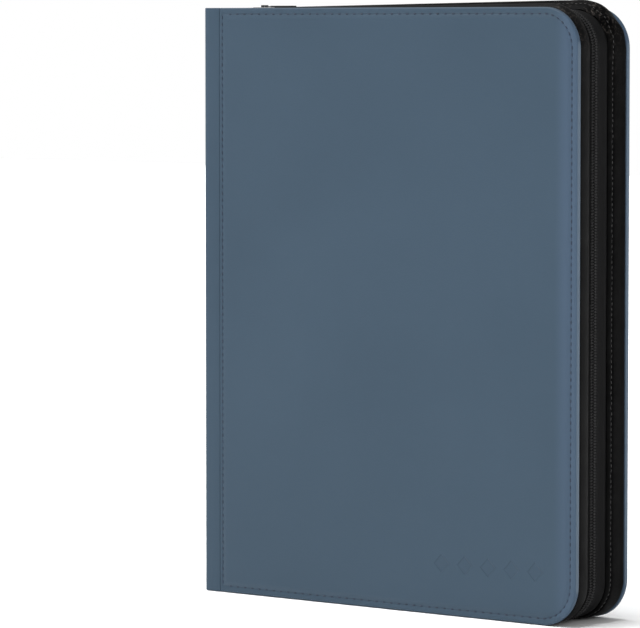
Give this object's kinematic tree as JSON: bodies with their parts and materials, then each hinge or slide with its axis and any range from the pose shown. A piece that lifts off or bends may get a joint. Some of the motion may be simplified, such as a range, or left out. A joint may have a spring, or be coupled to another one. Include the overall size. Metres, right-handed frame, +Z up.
{
  "type": "trading card binder",
  "caption": "Zip-around leatherette binder with side-loading pocket pages bound to its spine, shown closed and standing.",
  "frame": {"origin": "middle of the footprint of the closed, standing binder, on the surface it stands on", "axes": "+Z up along the spine, +X from the spine to the fore edge, -Y out of the front cover"},
  "size_m": [0.313, 0.059, 0.4019],
  "materials": {
    "cover_leather": "smooth blue-grey leatherette, satin",
    "gusset_leather": "black leatherette, fine grain",
    "lining": "black woven lining",
    "board": "grey binder's board",
    "zip_tape": "black woven zip tape",
    "zip_coil": "black nylon coil",
    "zip_metal": "black enamelled zinc",
    "page": "clear pockets welded on a black sheet",
    "page_block": "black welded margins",
    "thread": "dark blue thread"
  },
  "bodies": {
    "back": {"back_cover_leather": "cover_leather", "back_cover_board": "board", "back_cover_lining": "lining", "back_gusset": "gusset_leather", "back_gusset_bottom": "gusset_leather", "back_zip_tape": "zip_tape", "back_zip_coil": "zip_coil", "zip_top_stop": "zip_metal", "zip_bottom_stop": "zip_metal"},
    "spine": {"spine_leather": "cover_leather", "spine_board": "board", "spine_lining": "lining", "spine_top_gusset": "cover_leather", "spine_bottom_gusset": "cover_leather", "page_binding": "page_block"},
    "front": {"front_cover_leather": "cover_leather", "front_cover_board": "board", "front_cover_lining": "lining", "front_gusset": "gusset_leather", "front_zip_tape": "zip_tape", "front_zip_coil": "zip_coil"},
    "slider": {"slider_body": "zip_metal", "slider_bail": "zip_metal"},
    "pull": {"pull_tab": "zip_metal"},
    "page_01": {"page_01": "page"},
    "page_02": {"page_02": "page"},
    "page_03": {"page_03": "page"},
    "page_04": {"page_04": "page"},
    "page_05": {"page_05": "page"},
    "page_06": {"page_06": "page"},
    "page_07": {"page_07": "page"},
    "page_08": {"page_08": "page"},
    "page_09": {"page_09": "page"},
    "page_10": {"page_10": "page"},
    "page_11": {"page_11": "page"},
    "page_12": {"page_12": "page"},
    "page_13": {"page_13": "page"},
    "page_14": {"page_14": "page"},
    "page_15": {"page_15": "page"},
    "page_16": {"page_16": "page"},
    "page_17": {"page_17": "page"},
    "page_18": {"page_18": "page"},
    "page_19": {"page_19": "page"},
    "page_20": {"page_20": "page"},
    "page_21": {"page_21": "page"},
    "page_22": {"page_22": "page"},
    "page_23": {"page_23": "page"},
    "page_24": {"page_24": "page"},
    "page_25": {"page_25": "page"},
    "page_26": {"page_26": "page"},
    "page_27": {"page_27": "page"},
    "page_28": {"page_28": "page"},
    "page_29": {"page_29": "page"},
    "page_30": {"page_30": "page"},
    "page_31": {"page_31": "page"},
    "page_32": {"page_32": "page"},
    "page_33": {"page_33": "page"},
    "page_34": {"page_34": "page"}
  },
  "joints": [
    {"name": "spine_hinge", "type": "hinge", "parent": "back", "child": "spine", "pos_m": [-0.1422, 0.0295, 0.2], "axis": [0, 0, -1], "range_deg": [0, 90]},
    {"name": "cover_hinge", "type": "hinge", "parent": "spine", "child": "front", "pos_m": [-0.1422, -0.0295, 0.2], "axis": [0, 0, -1], "range_deg": [0, 90]},
    {"name": "slider_slide", "type": "slide", "parent": "back", "child": "slider", "axis": [1, 0, 0], "range_m": [0, 0.24]},
    {"name": "pull_hinge", "type": "hinge", "parent": "slider", "child": "pull", "pos_m": [-0.1193, -0.0088, 0.40095], "axis": [0, -1, 0], "range_deg": [0, 175]},
    {"name": "page_01_turn", "type": "hinge", "parent": "spine", "child": "page_01", "pos_m": [-0.13825, -0.02485, 0.2], "axis": [0, 0, -1], "range_deg": [0, 75.01]},
    {"name": "page_02_turn", "type": "hinge", "parent": "spine", "child": "page_02", "pos_m": [-0.13825, -0.02334, 0.2], "axis": [0, 0, -1], "range_deg": [0, 70.47]},
    {"name": "page_03_turn", "type": "hinge", "parent": "spine", "child": "page_03", "pos_m": [-0.13825, -0.02184, 0.2], "axis": [0, 0, -1], "range_deg": [0, 65.92]},
    {"name": "page_04_turn", "type": "hinge", "parent": "spine", "child": "page_04", "pos_m": [-0.13825, -0.02033, 0.2], "axis": [0, 0, -1], "range_deg": [0, 61.37]},
    {"name": "page_05_turn", "type": "hinge", "parent": "spine", "child": "page_05", "pos_m": [-0.13825, -0.01883, 0.2], "axis": [0, 0, -1], "range_deg": [0, 56.83]},
    {"name": "page_06_turn", "type": "hinge", "parent": "spine", "child": "page_06", "pos_m": [-0.13825, -0.01732, 0.2], "axis": [0, 0, -1], "range_deg": [0, 52.28]},
    {"name": "page_07_turn", "type": "hinge", "parent": "spine", "child": "page_07", "pos_m": [-0.13825, -0.01581, 0.2], "axis": [0, 0, -1], "range_deg": [0, 47.74]},
    {"name": "page_08_turn", "type": "hinge", "parent": "spine", "child": "page_08", "pos_m": [-0.13825, -0.01431, 0.2], "axis": [0, 0, -1], "range_deg": [0, 43.19]},
    {"name": "page_09_turn", "type": "hinge", "parent": "spine", "child": "page_09", "pos_m": [-0.13825, -0.0128, 0.2], "axis": [0, 0, -1], "range_deg": [0, 38.65]},
    {"name": "page_10_turn", "type": "hinge", "parent": "spine", "child": "page_10", "pos_m": [-0.13825, -0.0113, 0.2], "axis": [0, 0, -1], "range_deg": [0, 34.1]},
    {"name": "page_11_turn", "type": "hinge", "parent": "spine", "child": "page_11", "pos_m": [-0.13825, -0.00979, 0.2], "axis": [0, 0, -1], "range_deg": [0, 29.55]},
    {"name": "page_12_turn", "type": "hinge", "parent": "spine", "child": "page_12", "pos_m": [-0.13825, -0.00828, 0.2], "axis": [0, 0, -1], "range_deg": [0, 25.01]},
    {"name": "page_13_turn", "type": "hinge", "parent": "spine", "child": "page_13", "pos_m": [-0.13825, -0.00678, 0.2], "axis": [0, 0, -1], "range_deg": [0, 20.46]},
    {"name": "page_14_turn", "type": "hinge", "parent": "spine", "child": "page_14", "pos_m": [-0.13825, -0.00527, 0.2], "axis": [0, 0, -1], "range_deg": [0, 15.92]},
    {"name": "page_15_turn", "type": "hinge", "parent": "spine", "child": "page_15", "pos_m": [-0.13825, -0.00377, 0.2], "axis": [0, 0, -1], "range_deg": [0, 11.37]},
    {"name": "page_16_turn", "type": "hinge", "parent": "spine", "child": "page_16", "pos_m": [-0.13825, -0.00226, 0.2], "axis": [0, 0, -1], "range_deg": [0, 6.83]},
    {"name": "page_17_turn", "type": "hinge", "parent": "spine", "child": "page_17", "pos_m": [-0.13825, -0.00075, 0.2], "axis": [0, 0, -1], "range_deg": [0, 2.28]},
    {"name": "page_18_turn", "type": "hinge", "parent": "spine", "child": "page_18", "pos_m": [-0.13825, 0.00075, 0.2], "axis": [0, 0, 1], "range_deg": [0, 2.28]},
    {"name": "page_19_turn", "type": "hinge", "parent": "spine", "child": "page_19", "pos_m": [-0.13825, 0.00226, 0.2], "axis": [0, 0, 1], "range_deg": [0, 6.83]},
    {"name": "page_20_turn", "type": "hinge", "parent": "spine", "child": "page_20", "pos_m": [-0.13825, 0.00377, 0.2], "axis": [0, 0, 1], "range_deg": [0, 11.37]},
    {"name": "page_21_turn", "type": "hinge", "parent": "spine", "child": "page_21", "pos_m": [-0.13825, 0.00527, 0.2], "axis": [0, 0, 1], "range_deg": [0, 15.92]},
    {"name": "page_22_turn", "type": "hinge", "parent": "spine", "child": "page_22", "pos_m": [-0.13825, 0.00678, 0.2], "axis": [0, 0, 1], "range_deg": [0, 20.46]},
    {"name": "page_23_turn", "type": "hinge", "parent": "spine", "child": "page_23", "pos_m": [-0.13825, 0.00828, 0.2], "axis": [0, 0, 1], "range_deg": [0, 25.01]},
    {"name": "page_24_turn", "type": "hinge", "parent": "spine", "child": "page_24", "pos_m": [-0.13825, 0.00979, 0.2], "axis": [0, 0, 1], "range_deg": [0, 29.55]},
    {"name": "page_25_turn", "type": "hinge", "parent": "spine", "child": "page_25", "pos_m": [-0.13825, 0.0113, 0.2], "axis": [0, 0, 1], "range_deg": [0, 34.1]},
    {"name": "page_26_turn", "type": "hinge", "parent": "spine", "child": "page_26", "pos_m": [-0.13825, 0.0128, 0.2], "axis": [0, 0, 1], "range_deg": [0, 38.65]},
    {"name": "page_27_turn", "type": "hinge", "parent": "spine", "child": "page_27", "pos_m": [-0.13825, 0.01431, 0.2], "axis": [0, 0, 1], "range_deg": [0, 43.19]},
    {"name": "page_28_turn", "type": "hinge", "parent": "spine", "child": "page_28", "pos_m": [-0.13825, 0.01581, 0.2], "axis": [0, 0, 1], "range_deg": [0, 47.74]},
    {"name": "page_29_turn", "type": "hinge", "parent": "spine", "child": "page_29", "pos_m": [-0.13825, 0.01732, 0.2], "axis": [0, 0, 1], "range_deg": [0, 52.28]},
    {"name": "page_30_turn", "type": "hinge", "parent": "spine", "child": "page_30", "pos_m": [-0.13825, 0.01883, 0.2], "axis": [0, 0, 1], "range_deg": [0, 56.83]},
    {"name": "page_31_turn", "type": "hinge", "parent": "spine", "child": "page_31", "pos_m": [-0.13825, 0.02033, 0.2], "axis": [0, 0, 1], "range_deg": [0, 61.37]},
    {"name": "page_32_turn", "type": "hinge", "parent": "spine", "child": "page_32", "pos_m": [-0.13825, 0.02184, 0.2], "axis": [0, 0, 1], "range_deg": [0, 65.92]},
    {"name": "page_33_turn", "type": "hinge", "parent": "spine", "child": "page_33", "pos_m": [-0.13825, 0.02334, 0.2], "axis": [0, 0, 1], "range_deg": [0, 70.47]},
    {"name": "page_34_turn", "type": "hinge", "parent": "spine", "child": "page_34", "pos_m": [-0.13825, 0.02485, 0.2], "axis": [0, 0, 1], "range_deg": [0, 75.01]}
  ],
  "couplings": [
    {"joint": "page_01_turn", "follows": "cover_hinge", "ratio": 0.83333},
    {"joint": "page_02_turn", "follows": "cover_hinge", "ratio": 0.78283},
    {"joint": "page_03_turn", "follows": "cover_hinge", "ratio": 0.73232},
    {"joint": "page_04_turn", "follows": "cover_hinge", "ratio": 0.68182},
    {"joint": "page_05_turn", "follows": "cover_hinge", "ratio": 0.63131},
    {"joint": "page_06_turn", "follows": "cover_hinge", "ratio": 0.58081},
    {"joint": "page_07_turn", "follows": "cover_hinge", "ratio": 0.5303},
    {"joint": "page_08_turn", "follows": "cover_hinge", "ratio": 0.4798},
    {"joint": "page_09_turn", "follows": "cover_hinge", "ratio": 0.42929},
    {"joint": "page_10_turn", "follows": "cover_hinge", "ratio": 0.37879},
    {"joint": "page_11_turn", "follows": "cover_hinge", "ratio": 0.32828},
    {"joint": "page_12_turn", "follows": "cover_hinge", "ratio": 0.27778},
    {"joint": "page_13_turn", "follows": "cover_hinge", "ratio": 0.22727},
    {"joint": "page_14_turn", "follows": "cover_hinge", "ratio": 0.17677},
    {"joint": "page_15_turn", "follows": "cover_hinge", "ratio": 0.12626},
    {"joint": "page_16_turn", "follows": "cover_hinge", "ratio": 0.075758},
    {"joint": "page_17_turn", "follows": "cover_hinge", "ratio": 0.025253},
    {"joint": "page_18_turn", "follows": "spine_hinge", "ratio": 0.025253},
    {"joint": "page_19_turn", "follows": "spine_hinge", "ratio": 0.075758},
    {"joint": "page_20_turn", "follows": "spine_hinge", "ratio": 0.12626},
    {"joint": "page_21_turn", "follows": "spine_hinge", "ratio": 0.17677},
    {"joint": "page_22_turn", "follows": "spine_hinge", "ratio": 0.22727},
    {"joint": "page_23_turn", "follows": "spine_hinge", "ratio": 0.27778},
    {"joint": "page_24_turn", "follows": "spine_hinge", "ratio": 0.32828},
    {"joint": "page_25_turn", "follows": "spine_hinge", "ratio": 0.37879},
    {"joint": "page_26_turn", "follows": "spine_hinge", "ratio": 0.42929},
    {"joint": "page_27_turn", "follows": "spine_hinge", "ratio": 0.4798},
    {"joint": "page_28_turn", "follows": "spine_hinge", "ratio": 0.5303},
    {"joint": "page_29_turn", "follows": "spine_hinge", "ratio": 0.58081},
    {"joint": "page_30_turn", "follows": "spine_hinge", "ratio": 0.63131},
    {"joint": "page_31_turn", "follows": "spine_hinge", "ratio": 0.68182},
    {"joint": "page_32_turn", "follows": "spine_hinge", "ratio": 0.73232},
    {"joint": "page_33_turn", "follows": "spine_hinge", "ratio": 0.78283},
    {"joint": "page_34_turn", "follows": "spine_hinge", "ratio": 0.83333}
  ]
}
